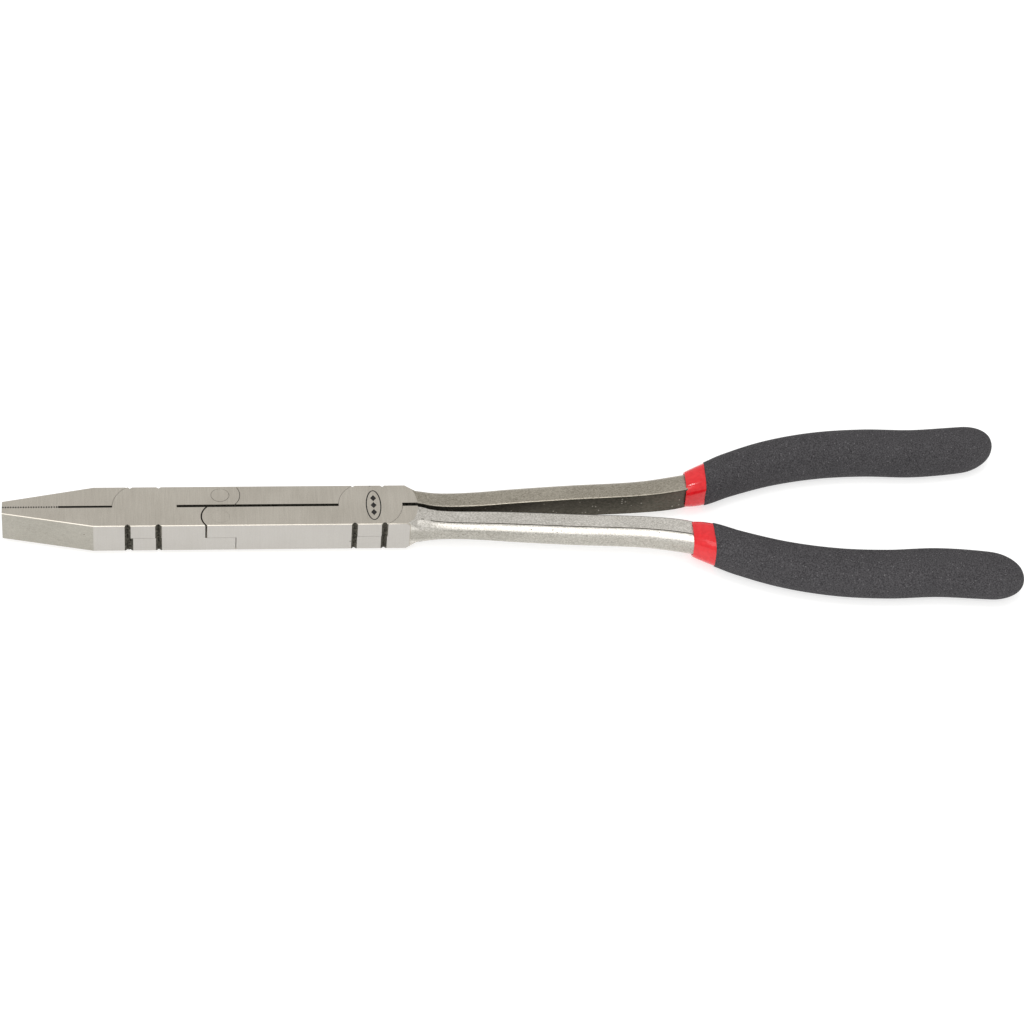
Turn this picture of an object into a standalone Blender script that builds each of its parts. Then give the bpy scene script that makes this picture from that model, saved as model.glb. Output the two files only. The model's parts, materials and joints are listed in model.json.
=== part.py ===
"""Long-reach double-joint flat-nose pliers, lying flat on a bench.

Four flat forgings make a closed kite linkage: two jaw levers cross at the front pivot, two handle
levers cross at the rear pivot, and a link rivet joins each jaw lever to a handle lever between them.
Every joint is a half lap: one lever keeps its top half there and the other its bottom half. The two jaw
levers are one shape, and so are the two handle levers: each second one is the first turned half a turn
about the tool's own long axis.

Tool axes: X along the tool from the jaw tips (-X) to the grip ends (+X), Y across it, Z up through its
thickness. Shapes are drawn with z = 0 in the middle of the thickness, and the finished tool is lifted to
lie on z = 0.
"""

import math

import bmesh
import bpy
from mathutils import Matrix, Vector

MM = 0.001

# Driving dimensions of the whole tool
LENGTH = 340.0 * MM
HALF_WIDTH = 9.2 * MM
HALF_THICKNESS = 5.85 * MM
GAP = 0.3 * MM
OVERSHOOT = 2.0 * MM

# Pivots, all on axes along Z
FRONT_PIVOT = Vector((-123.0 * MM, 0.0, 0.0))
REAR_PIVOT = Vector((-47.8 * MM, 0.0, 0.0))
LINK_X = -97.9 * MM
LINK_Y = 5.0 * MM

# Half laps: the round cheek of one lever turns inside the hollow seat of the other
LAP_RADIUS = 10.65 * MM
LAP_SEAT_RADIUS = LAP_RADIUS + GAP
JAW_TONGUE_RADIUS = 6.5 * MM
JAW_LINK_SEAT_RADIUS = 6.6 * MM
HANDLE_TONGUE_RADIUS = 6.05 * MM
HANDLE_LINK_SEAT_RADIUS = 6.8 * MM
ARC_STEP = math.radians(7.5)

# Slots between the levers at rest, as half widths
JAW_SLOT = 0.35 * MM
MIDDLE_SLOT = 0.5 * MM
REAR_SLOT = 0.75 * MM

# Jaws
TIP_HALF_WIDTH = 2.85 * MM
TAPER_END_X = -139.2 * MM
TEETH_LENGTH = 18.4 * MM
TOOTH_COUNT = 23
TOOTH_DEPTH = 0.4 * MM
BITE = 0.15 * MM

# Relief notches across the edges of both crossing joints
NOTCH_OFFSET = 5.2 * MM
NOTCH_HALF_WIDTH = 1.05 * MM
NOTCH_DEPTH = 0.75 * MM

# Rivets, ground flush with both faces
PIVOT_SHANK_RADIUS = 3.6 * MM
PIVOT_HEAD_RADIUS = 4.4 * MM
LINK_SHANK_RADIUS = 2.4 * MM
LINK_HEAD_RADIUS = 2.95 * MM
RIVET_HEAD_DEPTH = 1.1 * MM
RIVET_STEPS = 24

# Handle arms, as (x, value) knots in millimetres along the tool; a smooth curve runs through them
ARM_CENTRE_Y = (
    (-44, 4.85), (-27, 4.85), (-11, 5.4), (1, 6.3), (20, 7.7), (45, 9.3), (54, 10.7), (60, 12.1),
    (66.3, 14.4), (75, 18.7), (90, 24.4), (107, 28.1), (124, 29.3), (141, 28.8), (155, 29.9), (170, 31.6),
)
ARM_WIDTH = ((-44, 8.0), (-27, 8.0), (1, 8.6), (45, 8.8), (57, 9.1), (61, 8.3), (162, 7.6))
ARM_THICKNESS = (
    (-44, 11.2), (-36, 11.1), (-31.5, 10.4), (-28.5, 9.0), (-25.5, 7.8), (-21, 7.1), (-14, 7.1), (1, 7.9),
    (45, 8.5), (57, 8.9), (61, 8.1), (162, 7.6),
)
ARM_INNER_CORNER = ((-44, 0.4), (-27, 0.7), (1, 1.0), (45, 1.2), (162, 1.4))
ARM_OUTER_CORNER = (
    (-44, 1.0), (-36, 2.0), (-31.5, 3.9), (-28.5, 3.7), (-25.5, 3.0), (-14, 2.6), (45, 2.6), (162, 2.3),
)
HEAD_RADIUS = 15.8 * MM
NECK_X = -36.3 * MM
NECK_FALL = Vector((0.424, 0.55, 0.55))
NECK_CUTTER_SIZE = 24.0 * MM
ARM_START_X = -44.0 * MM
ARM_WAIST_X = 57.0 * MM
ARM_END_X = 161.0 * MM
BARE_STATIONS = 20
COVERED_STATIONS = 16

# Red under-sleeve: a collar shows ahead of the grip, the rest is covered by it
SLEEVE_START_X = 59.8 * MM
COLLAR_END_X = 66.4 * MM
SLEEVE_END_X = 163.5 * MM
SLEEVE_WALL = 0.8 * MM
COLLAR_WIDTH = ((59, 10.6), (66.5, 11.9))
COLLAR_THICKNESS = ((59, 10.5), (66.5, 12.1))
COLLAR_CORNER = 3.4 * MM
COLLAR_STATIONS = 3

# Foam grip, dipped over the sleeve
GRIP_START_X = 66.7 * MM
GRIP_END_X = 170.0 * MM
GRIP_WIDTH = ((66, 12.8), (80, 14.0), (95, 14.7), (115, 15.2), (145, 15.4), (156, 15.3), (170, 14.6))
GRIP_THICKNESS = ((66, 13.0), (80, 14.0), (95, 14.7), (115, 15.1), (145, 15.2), (156, 15.1), (170, 14.4))
GRIP_ROUNDNESS = 0.88
GRIP_NOSE = 10.0 * MM
GRIP_STATIONS = 17
NOSE_STATIONS = 5
HOLLOW_STATIONS = 11
CORNER_STEPS_ARM = 2
CORNER_STEPS_GRIP = 3

STEEL = ("satin_nickel_steel", (0.60, 0.58, 0.54), 0.32, 1.0)
RIVET_STEEL = ("ground_rivet_steel", (0.56, 0.55, 0.52), 0.30, 1.0)
RED_VINYL = ("red_vinyl", (0.80, 0.03, 0.04), 0.22, 0.0)
BLACK_FOAM = ("charcoal_foam", (0.045, 0.042, 0.046), 0.85, 0.0)


# Scene and materials


def clear_scene():
    """Removes whatever the startup scene holds."""
    for obj in list(bpy.data.objects):
        bpy.data.objects.remove(obj)


def new_collection(name):
    """A collection linked to the scene."""
    collection = bpy.data.collections.new(name)
    bpy.context.scene.collection.children.link(collection)
    return collection


def finish(colouring):
    """The Principled material that a (name, colour, roughness, metallic) tuple describes, made once."""
    name, colour, roughness, metallic = colouring
    material = bpy.data.materials.get(name) or bpy.data.materials.new(name)
    material.use_nodes = True
    shader = material.node_tree.nodes["Principled BSDF"]
    shader.inputs["Base Color"].default_value = (*colour, 1.0)
    shader.inputs["Roughness"].default_value = roughness
    shader.inputs["Metallic"].default_value = metallic
    return material


# Curves and outlines


def smooth(knots, x):
    """The value at x, in metres, on a smooth curve through (x, value) knots given in millimetres."""
    points = [(a * MM, b * MM) for a, b in knots]
    if x <= points[0][0]:
        return points[0][1]
    if x >= points[-1][0]:
        return points[-1][1]
    slopes = [(b[1] - a[1]) / (b[0] - a[0]) for a, b in zip(points, points[1:])]
    tangents = [slopes[0], *((a + b) / 2 for a, b in zip(slopes, slopes[1:])), slopes[-1]]
    i = max(k for k in range(len(slopes)) if points[k][0] <= x)
    span = points[i + 1][0] - points[i][0]
    t = (x - points[i][0]) / span
    return (
        points[i][1] * (2 * t**3 - 3 * t**2 + 1)
        + tangents[i] * span * (t**3 - 2 * t**2 + t)
        + points[i + 1][1] * (3 * t**2 - 2 * t**3)
        + tangents[i + 1] * span * (t**3 - t**2)
    )


def arc(centre, radius, start, end):
    """Points on an arc from one angle to another, both ends included."""
    steps = max(2, math.ceil(abs(end - start) / ARC_STEP))
    angles = [start + (end - start) * i / steps for i in range(steps + 1)]
    return [(centre[0] + radius * math.cos(a), centre[1] + radius * math.sin(a)) for a in angles]


def height_angle(height, radius):
    """The angle at which a circle round the origin reaches a height."""
    return math.asin(height / radius)


# Solids


def mesh_object(name, mesh, collection):
    """A new object that shows a mesh."""
    obj = bpy.data.objects.new(name, mesh)
    collection.objects.link(obj)
    return obj


def plate(name, outline, low, high, collection):
    """A flat outline filled and extruded from z = low to z = high, as one closed mesh."""
    curve = bpy.data.curves.new(name + "_outline", "CURVE")
    curve.dimensions = "2D"
    curve.fill_mode = "BOTH"
    curve.extrude = (high - low) / 2
    spline = curve.splines.new("POLY")
    spline.points.add(len(outline) - 1)
    for point, (x, y) in zip(spline.points, outline):
        point.co = (x, y, 0.0, 1.0)
    spline.use_cyclic_u = True
    drawn = bpy.data.objects.new(name + "_outline", curve)
    drawn.location.z = (high + low) / 2
    collection.objects.link(drawn)
    bpy.context.view_layer.update()
    graph = bpy.context.evaluated_depsgraph_get()
    mesh = bpy.data.meshes.new_from_object(drawn.evaluated_get(graph))
    mesh.transform(drawn.matrix_world)
    bpy.data.objects.remove(drawn)
    weld(mesh)
    return mesh_object(name, mesh, collection)


def weld(mesh):
    """Joins the loose caps of a mesh to its sides and points all its faces outwards."""
    shape = bmesh.new()
    shape.from_mesh(mesh)
    bmesh.ops.remove_doubles(shape, verts=shape.verts, dist=1e-6)
    bmesh.ops.recalc_face_normals(shape, faces=shape.faces)
    shape.to_mesh(mesh)
    shape.free()


def cylinder(name, centre, radius, low, high, collection):
    """An upright cylinder from z = low to z = high."""
    shape = bmesh.new()
    bmesh.ops.create_cone(
        shape,
        cap_ends=True,
        segments=round(2 * math.pi / ARC_STEP),
        radius1=radius,
        radius2=radius,
        depth=high - low,
        matrix=Matrix.Translation((centre[0], centre[1], (low + high) / 2)),
    )
    mesh = bpy.data.meshes.new(name)
    shape.to_mesh(mesh)
    shape.free()
    return mesh_object(name, mesh, collection)


def rivet(name, centre, shank, head, grown, collection):
    """A rivet ground flush at both faces, or the hole for it when grown: a profile turned about Z."""
    end = HALF_THICKNESS + (OVERSHOOT if grown else 0.0)
    neck = HALF_THICKNESS - RIVET_HEAD_DEPTH
    shank, head = shank + grown, head + grown
    half = [(0.0, end), (head, end), (head, HALF_THICKNESS), (shank, neck)]
    if not grown:
        half.pop(2)
    profile = half + [(radius, -z) for radius, z in reversed(half)]
    mesh = bpy.data.meshes.new(name)
    edges = [(i, i + 1) for i in range(len(profile) - 1)]
    mesh.from_pydata([(radius, 0.0, z) for radius, z in profile], edges, [])
    obj = mesh_object(name, mesh, collection)
    obj.location = centre
    turn = obj.modifiers.new("Turned", "SCREW")
    turn.steps = turn.render_steps = RIVET_STEPS
    turn.use_merge_vertices = True
    turn.merge_threshold = 1e-5
    bake(obj)
    weld(obj.data)
    return obj


def bake(obj):
    """Replaces an object's mesh with what its modifiers make of it."""
    bpy.context.view_layer.update()
    graph = bpy.context.evaluated_depsgraph_get()
    mesh = bpy.data.meshes.new_from_object(obj.evaluated_get(graph))
    obj.modifiers.clear()
    obj.data = mesh


def combine(obj, others, operation):
    """Cuts the others from an object, or joins them to it, and hides the cutters."""
    for other in others:
        step = obj.modifiers.new(other.name, "BOOLEAN")
        step.operation = operation
        step.object = other
        step.solver = "EXACT"
        other.hide_render = True
        other.display_type = "WIRE"
    bake(obj)


def ring(x, width, thickness, inner_corner, outer_corner, steps):
    """A closed section at x, square to the tool's long axis: a rectangle with its four corners rounded.

    The width is measured square to the handle's own centreline, so it is stretched where that slants.
    """
    step = 0.5 * MM
    slope = (smooth(ARM_CENTRE_Y, x + step) - smooth(ARM_CENTRE_Y, x - step)) / (2 * step)
    stretch = math.sqrt(1.0 + slope**2)
    centre = Vector((x, smooth(ARM_CENTRE_Y, x), 0.0))
    corners = ((1, 1, outer_corner), (-1, 1, inner_corner), (-1, -1, inner_corner), (1, -1, outer_corner))
    points = []
    for i, (side, face, corner) in enumerate(corners):
        hub = (side * (width / 2 - corner), face * (thickness / 2 - corner))
        for k in range(steps + 1):
            angle = math.pi / 2 * (i + k / steps)
            y = hub[0] + corner * math.cos(angle)
            z = hub[1] + corner * math.sin(angle)
            points.append(centre + Vector((0.0, y * stretch, z)))
    return points


def cover(x, grown):
    """The arm's section at x grown all round, with its sharper corners at all four."""
    width = smooth(ARM_WIDTH, x) + 2 * grown
    thickness = smooth(ARM_THICKNESS, x) + 2 * grown
    corner = smooth(ARM_INNER_CORNER, x) + grown
    return ring(x, width, thickness, corner, corner, CORNER_STEPS_GRIP)


def loft(name, rings, collection):
    """A closed solid through a row of sections with equal numbers of points, capped at both ends."""
    shape = bmesh.new()
    rows = [[shape.verts.new(point) for point in points] for points in rings]
    for first, second in zip(rows, rows[1:]):
        for i in range(len(first)):
            k = (i + 1) % len(first)
            shape.faces.new((first[i], first[k], second[k], second[i]))
    shape.faces.new(reversed(rows[0]))
    shape.faces.new(rows[-1])
    bmesh.ops.recalc_face_normals(shape, faces=shape.faces)
    mesh = bpy.data.meshes.new(name)
    shape.to_mesh(mesh)
    shape.free()
    return mesh_object(name, mesh, collection)


def stations(start, end, count):
    """Evenly spaced places from start to end."""
    return [start + (end - start) * i / (count - 1) for i in range(count)]


# The pieces, each drawn about z = 0 in tool axes


def jaw_outline():
    """Plan of the jaw lever that keeps its top half: jaw on the -Y side, arm on the +Y side."""
    pivot, link = FRONT_PIVOT, (LINK_X, LINK_Y)
    tip_x = -LENGTH / 2
    pitch = TEETH_LENGTH / TOOTH_COUNT
    outline = [(tip_x, -TIP_HALF_WIDTH), (tip_x, -BITE - TOOTH_DEPTH)]
    for i in range(TOOTH_COUNT):
        outline.append((tip_x + pitch * (i + 0.5), -BITE))
        outline.append((tip_x + pitch * (i + 1), -BITE - TOOTH_DEPTH))
    outline.append((tip_x + TEETH_LENGTH, -JAW_SLOT))
    lap_edge = height_angle(HALF_WIDTH, LAP_RADIUS)
    outline += arc(pivot, LAP_RADIUS, math.pi + height_angle(JAW_SLOT, LAP_RADIUS), math.pi - lap_edge)
    tongue_top = height_angle(HALF_WIDTH - LINK_Y, JAW_TONGUE_RADIUS)
    tongue_foot = height_angle(MIDDLE_SLOT - LINK_Y, JAW_TONGUE_RADIUS)
    outline += arc(link, JAW_TONGUE_RADIUS, tongue_top, tongue_foot)
    outline += arc(pivot, LAP_RADIUS, height_angle(MIDDLE_SLOT, LAP_RADIUS), -lap_edge)
    outline.append((TAPER_END_X, -HALF_WIDTH))
    return outline


def handle_outline():
    """Plan of the flat part of the handle lever that keeps its top half: arm at -Y, head at +Y."""
    pivot, link = REAR_PIVOT, (LINK_X, -LINK_Y)
    lap_edge = height_angle(HALF_WIDTH, LAP_RADIUS)
    tongue_top = height_angle(LINK_Y - MIDDLE_SLOT, HANDLE_TONGUE_RADIUS)
    tongue_foot = height_angle(LINK_Y - HALF_WIDTH, HANDLE_TONGUE_RADIUS)
    outline = arc(link, HANDLE_TONGUE_RADIUS, math.pi - tongue_top, math.pi - tongue_foot)
    outline += arc(pivot, LAP_RADIUS, -lap_edge, height_angle(REAR_SLOT, LAP_RADIUS))
    head_foot = height_angle(REAR_SLOT, HEAD_RADIUS)
    outline += arc(pivot, HEAD_RADIUS, head_foot, height_angle(HALF_WIDTH, HEAD_RADIUS))
    outline += arc(pivot, LAP_RADIUS, math.pi - lap_edge, math.pi + height_angle(MIDDLE_SLOT, LAP_RADIUS))
    return outline


def notches(pivot, cutters):
    """Four V cutters across the edges of a crossing joint."""
    made = []
    for side in (-1, 1):
        for way in (-1, 1):
            x = pivot.x + way * NOTCH_OFFSET
            rise = OVERSHOOT + NOTCH_DEPTH
            flare = NOTCH_HALF_WIDTH * rise / NOTCH_DEPTH
            root_y = side * (HALF_WIDTH - NOTCH_DEPTH)
            mouth_y = root_y + side * rise
            outline = [(x, root_y), (x + flare, mouth_y), (x - flare, mouth_y)]
            name = f"notch_cutter_{len(cutters.objects)}"
            made.append(plate(name, outline, -2 * HALF_THICKNESS, 2 * HALF_THICKNESS, cutters))
    return made


def under_lap(centre, radius, cutters):
    """A cutter for the bottom half of a lap, which stops a little above the middle of the thickness."""
    name = f"lap_cutter_{len(cutters.objects)}"
    return cylinder(name, centre, radius, -HALF_THICKNESS - OVERSHOOT, GAP / 2, cutters)


def neck_slopes(cutters):
    """Two cutters that slope off the head's outer corners, above and below, towards the arm."""
    made = []
    for way in (1, -1):
        away = Vector((NECK_FALL.x, NECK_FALL.y, way * NECK_FALL.z)).normalized()
        corner = Vector((NECK_X, HALF_WIDTH, way * HALF_THICKNESS))
        shape = bmesh.new()
        bmesh.ops.create_cube(shape, size=NECK_CUTTER_SIZE)
        mesh = bpy.data.meshes.new(f"neck_cutter_{len(made)}")
        shape.to_mesh(mesh)
        shape.free()
        mesh.transform(away.to_track_quat("Z", "Y").to_matrix().to_4x4())
        mesh.transform(Matrix.Translation(corner + away * NECK_CUTTER_SIZE / 2))
        made.append(mesh_object(mesh.name, mesh, cutters))
    return made


def jaw_lever(name, parts, cutters):
    """Jaw, crossing cheek, arm and link tongue in one forging."""
    lever = plate(name, jaw_outline(), -HALF_THICKNESS, HALF_THICKNESS, parts)
    link = Vector((LINK_X, LINK_Y, 0.0))
    tools = [
        under_lap(FRONT_PIVOT, LAP_SEAT_RADIUS, cutters),
        under_lap(link, JAW_LINK_SEAT_RADIUS, cutters),
        rivet("front_pivot_hole", FRONT_PIVOT, PIVOT_SHANK_RADIUS, PIVOT_HEAD_RADIUS, GAP, cutters),
        rivet("jaw_link_hole", link, LINK_SHANK_RADIUS, LINK_HEAD_RADIUS, GAP, cutters),
        *notches(FRONT_PIVOT, cutters),
    ]
    combine(lever, tools, "DIFFERENCE")
    return lever


def arm(name, collection):
    """The long tapering arm that the grip slides over, from inside the head to inside the grip."""
    bare = stations(ARM_START_X, ARM_WAIST_X, BARE_STATIONS)
    covered = stations(SLEEVE_START_X, ARM_END_X, COVERED_STATIONS)
    rings = [
        ring(
            x,
            smooth(ARM_WIDTH, x),
            smooth(ARM_THICKNESS, x),
            smooth(ARM_INNER_CORNER, x),
            smooth(ARM_OUTER_CORNER, x),
            CORNER_STEPS_ARM,
        )
        for x in bare + covered
    ]
    return loft(name, rings, collection)


def handle_lever(name, parts, cutters):
    """Link tongue, flat arm, crossing cheek, head and long handle arm in one forging."""
    lever = plate(name, handle_outline(), -HALF_THICKNESS, HALF_THICKNESS, parts)
    link = Vector((LINK_X, -LINK_Y, 0.0))
    combine(lever, neck_slopes(cutters), "DIFFERENCE")
    combine(lever, [arm("arm_stock", cutters)], "UNION")
    tools = [
        under_lap(REAR_PIVOT, LAP_SEAT_RADIUS, cutters),
        under_lap(link, HANDLE_LINK_SEAT_RADIUS, cutters),
        rivet("rear_pivot_hole", REAR_PIVOT, PIVOT_SHANK_RADIUS, PIVOT_HEAD_RADIUS, GAP, cutters),
        rivet("handle_link_hole", link, LINK_SHANK_RADIUS, LINK_HEAD_RADIUS, GAP, cutters),
        *notches(REAR_PIVOT, cutters),
    ]
    combine(lever, tools, "DIFFERENCE")
    return lever


def sleeve(name, parts):
    """Closed red sleeve round the arm: the hollow from its blind end out, then the outside back."""
    inner = [cover(x, GAP) for x in stations(ARM_END_X + GAP, SLEEVE_START_X, HOLLOW_STATIONS)]
    collar = []
    for x in stations(SLEEVE_START_X, COLLAR_END_X, COLLAR_STATIONS):
        width, thickness = smooth(COLLAR_WIDTH, x), smooth(COLLAR_THICKNESS, x)
        collar.append(ring(x, width, thickness, COLLAR_CORNER, COLLAR_CORNER, CORNER_STEPS_GRIP))
    hidden_start = COLLAR_END_X + GAP / 2
    hidden = [cover(x, GAP + SLEEVE_WALL) for x in stations(hidden_start, SLEEVE_END_X, HOLLOW_STATIONS)]
    return loft(name, inner + collar + hidden, parts)


def grip(name, parts):
    """Closed foam grip over the sleeve, with a domed nose: the hollow first, then the outside."""
    def skin(x, share):
        width = smooth(GRIP_WIDTH, x) * share
        thickness = smooth(GRIP_THICKNESS, x) * share
        corner = GRIP_ROUNDNESS * min(width, thickness) / 2
        return ring(x, width, thickness, corner, corner, CORNER_STEPS_GRIP)

    room = 2 * GAP + SLEEVE_WALL
    inner = [cover(x, room) for x in stations(SLEEVE_END_X + GAP, GRIP_START_X, HOLLOW_STATIONS)]
    outer = [skin(x, 1.0) for x in stations(GRIP_START_X, GRIP_END_X - GRIP_NOSE, GRIP_STATIONS)]
    for i in range(1, NOSE_STATIONS + 1):
        angle = math.pi / 2 * i / (NOSE_STATIONS + 0.35)
        outer.append(skin(GRIP_END_X - GRIP_NOSE * (1 - math.sin(angle)), math.cos(angle) ** 0.8))
    return loft(name, inner + outer, parts)


# Assembly


def bench_height():
    """Height of the tool's middle above the bench: its grips are its thickest part, and lie on it."""
    places = stations(GRIP_START_X, GRIP_END_X - GRIP_NOSE, GRIP_STATIONS)
    return max(smooth(GRIP_THICKNESS, x) for x in places) / 2


def place(obj, pivot, turned=False):
    """Puts a piece drawn about its pivot in its place, upright or turned over about the tool's long axis."""
    obj.rotation_euler.x = math.pi if turned else 0.0
    obj.location = pivot + Vector((0.0, 0.0, bench_height()))


def paint(obj, colouring):
    """Gives a piece its material and shades its round faces smooth."""
    obj.data.materials.append(finish(colouring))
    obj.data.shade_smooth()
    obj.data.set_sharp_from_angle(angle=math.radians(28))


def pair(first, second_name, pivot, colouring, parts):
    """Places a piece with its origin on its pivot, and its twin, which shares its mesh and is turned over."""
    first.data.transform(Matrix.Translation(-pivot))
    paint(first, colouring)
    place(first, pivot)
    place(mesh_object(second_name, first.data, parts), pivot, turned=True)


def main():
    clear_scene()
    parts = new_collection("double_joint_pliers")
    cutters = new_collection("cutters")
    pair(jaw_lever("lower_jaw", parts, cutters), "upper_jaw", FRONT_PIVOT, STEEL, parts)
    pair(handle_lever("upper_handle", parts, cutters), "lower_handle", REAR_PIVOT, STEEL, parts)
    pair(sleeve("upper_sleeve", parts), "lower_sleeve", REAR_PIVOT, RED_VINYL, parts)
    pair(grip("upper_grip", parts), "lower_grip", REAR_PIVOT, BLACK_FOAM, parts)
    rivets = {
        "front_pivot_rivet": (FRONT_PIVOT, PIVOT_SHANK_RADIUS, PIVOT_HEAD_RADIUS),
        "rear_pivot_rivet": (REAR_PIVOT, PIVOT_SHANK_RADIUS, PIVOT_HEAD_RADIUS),
        "upper_link_rivet": (Vector((LINK_X, LINK_Y, 0.0)), LINK_SHANK_RADIUS, LINK_HEAD_RADIUS),
        "lower_link_rivet": (Vector((LINK_X, -LINK_Y, 0.0)), LINK_SHANK_RADIUS, LINK_HEAD_RADIUS),
    }
    for name, (centre, shank, head) in rivets.items():
        pin = rivet(name, Vector(), shank, head, 0.0, parts)
        paint(pin, RIVET_STEEL)
        place(pin, centre)


main()
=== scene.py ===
import json
import math

import bpy
from mathutils import Matrix, Vector


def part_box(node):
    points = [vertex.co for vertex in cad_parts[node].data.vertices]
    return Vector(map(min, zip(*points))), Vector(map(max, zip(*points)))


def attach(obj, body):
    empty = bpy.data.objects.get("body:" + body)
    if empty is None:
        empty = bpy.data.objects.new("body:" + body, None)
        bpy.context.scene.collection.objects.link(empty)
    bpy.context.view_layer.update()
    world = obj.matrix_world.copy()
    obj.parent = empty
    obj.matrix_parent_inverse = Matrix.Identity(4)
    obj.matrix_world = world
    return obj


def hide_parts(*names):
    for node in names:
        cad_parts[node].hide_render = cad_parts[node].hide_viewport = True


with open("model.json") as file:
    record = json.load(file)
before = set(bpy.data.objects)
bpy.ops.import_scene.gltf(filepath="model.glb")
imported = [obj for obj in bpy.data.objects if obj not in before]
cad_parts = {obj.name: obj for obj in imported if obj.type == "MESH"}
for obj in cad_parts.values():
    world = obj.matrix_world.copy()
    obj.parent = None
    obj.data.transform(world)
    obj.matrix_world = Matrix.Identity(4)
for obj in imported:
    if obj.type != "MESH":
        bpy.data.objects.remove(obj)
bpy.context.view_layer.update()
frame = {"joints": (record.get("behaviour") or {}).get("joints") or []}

MM = 0.001


# ---------------------------------------------------------------------------------------------------------
# Camera. The tool lies flat with its jaws to the left, seen from above its near side, a little from the jaws.
camera_distance = 1216.0 * MM
camera_lens = 126.97
camera_elevation = math.radians(45.0)
camera_swing = math.radians(-5.72)
camera_roll = math.radians(0.48)
camera_offset = Vector((0.09, 1.23)) * MM

pivots = {joint["name"]: Vector(joint["pos_m"]) for joint in frame["joints"]}
rear_pivot = pivots["handle_pivot"]
mid_height = rear_pivot.z

toward = Vector((
    math.sin(camera_swing),
    -math.sin(camera_elevation) * math.cos(camera_swing),
    math.cos(camera_elevation) * math.cos(camera_swing),
))
level_right = Vector((
    math.cos(camera_swing),
    math.sin(camera_elevation) * math.sin(camera_swing),
    -math.cos(camera_elevation) * math.sin(camera_swing),
))
level_up = toward.cross(level_right)
right = level_right * math.cos(camera_roll) - level_up * math.sin(camera_roll)
up = level_right * math.sin(camera_roll) + level_up * math.cos(camera_roll)
stand = toward * camera_distance + right * camera_offset.x + up * camera_offset.y
stand = stand + Vector((0.0, 0.0, mid_height))

bpy.ops.object.select_all(action="DESELECT")
bpy.ops.object.camera_add(location=stand)
camera = bpy.context.object
camera.name = "camera"
camera.matrix_world = Matrix.Translation(stand) @ Matrix((right, up, toward)).transposed().to_4x4()
camera.data.sensor_width = 36.0
camera.data.lens = camera_lens
camera.data.clip_end = 20.0
bpy.context.scene.camera = camera


# ---------------------------------------------------------------------------------------------------------
# Jaw levers. Each is one drop forging: a flat jaw with a cross-cut bite, a round crossing cheek of half
# thickness, and an arm that ends in a half-thickness tongue for the link rivet. The two are one shape, turned
# over. All the flats are ground crosswise and satin nickel plated; the jaw's taper is ground lengthwise.
jaw_low, jaw_high = (Vector(corner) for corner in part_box("lower_jaw"))
half_width = jaw_high.y
half_thickness = (jaw_high.z - jaw_low.z) / 2
tip_x = jaw_low.x
rivet_low, rivet_high = (Vector(corner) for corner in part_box("front_pivot_rivet"))
front_pivot = (rivet_low + rivet_high) / 2
upper_link = pivots["upper_link_pivot"]
lower_link = pivots["lower_link_pivot"]

lap_radius = 10.65 * MM
lap_gap = 0.035 * MM
seam = 0.10 * MM
hairline = 0.015 * MM
jaw_tongue_radius = 6.5 * MM
handle_tongue_radius = 6.1 * MM
jaw_link_seat_radius = 6.6 * MM
middle_slot = 0.58 * MM
jaw_slot = 0.45 * MM
bite = 0.008 * MM
tip_half_width = 2.85 * MM
taper_end_x = -139.9 * MM
teeth_length = 18.5 * MM
tooth_count = 22
tooth_half_width = 0.30 * MM
tooth_depth = 0.5 * MM
notch_half_width = 1.0 * MM
notch_depth = 0.85 * MM
front_near_notches = (-5.6 * MM, 4.5 * MM)
front_far_notches = (-4.8 * MM, 4.7 * MM)
edge_break = 0.22 * MM
spare = 1.0 * MM
round_sides = 128

pivot_shank, pivot_head = 3.6 * MM, 4.4 * MM
link_shank, link_head = 2.4 * MM, 2.95 * MM
rivet_head_depth = 1.1 * MM


class Wire:
    """A socket in a material's node tree, on which shader sums are written as Python."""

    def __init__(self, tree, socket=None):
        self.tree = tree
        self.socket = socket

    def node(self, kind, settings=None, inputs=None, output=0):
        """A new node with its settings made first, then its inputs set or linked."""
        made = self.tree.nodes.new(kind)
        for key, value in (settings or {}).items():
            setattr(made, key, value)
        for key, value in (inputs or {}).items():
            if isinstance(value, Wire):
                self.tree.links.new(value.socket, made.inputs[key])
            else:
                made.inputs[key].default_value = value
        return Wire(self.tree, made.outputs[output])

    def sum_of(self, operation, first, second):
        return self.node("ShaderNodeMath", {"operation": operation}, {0: first, 1: second})

    def __add__(self, other):
        return self.sum_of("ADD", self, other)

    __radd__ = __add__

    def __mul__(self, other):
        return self.sum_of("MULTIPLY", self, other)

    __rmul__ = __mul__

    def __sub__(self, other):
        return self.sum_of("SUBTRACT", self, other)

    def __rsub__(self, other):
        return self.sum_of("SUBTRACT", other, self)

    def ramp(self, low, high):
        """This value stretched so that low becomes 0 and high becomes 1, with smooth ends."""
        settings = {"interpolation_type": "SMOOTHSTEP"}
        return self.node("ShaderNodeMapRange", settings, {"Value": self, "From Min": low, "From Max": high})

    def blend(self, first, second):
        """The colour first where this value is 0, and second where it is 1."""
        return self.node("ShaderNodeMix", {"data_type": "RGBA"}, {0: self, 6: first, 7: second}, output=2)


def new_material(name, **constants):
    """A material, its Principled shader, and a wire that carries the piece's own coordinates."""
    material = bpy.data.materials.new(name)
    material.use_nodes = True
    tree = material.node_tree
    shader = tree.nodes["Principled BSDF"]
    for socket, value in constants.items():
        shader.inputs[socket.replace("_", " ")].default_value = value
    place = Wire(tree).node("ShaderNodeTexCoord", output="Object")
    return material, shader, place


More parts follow.
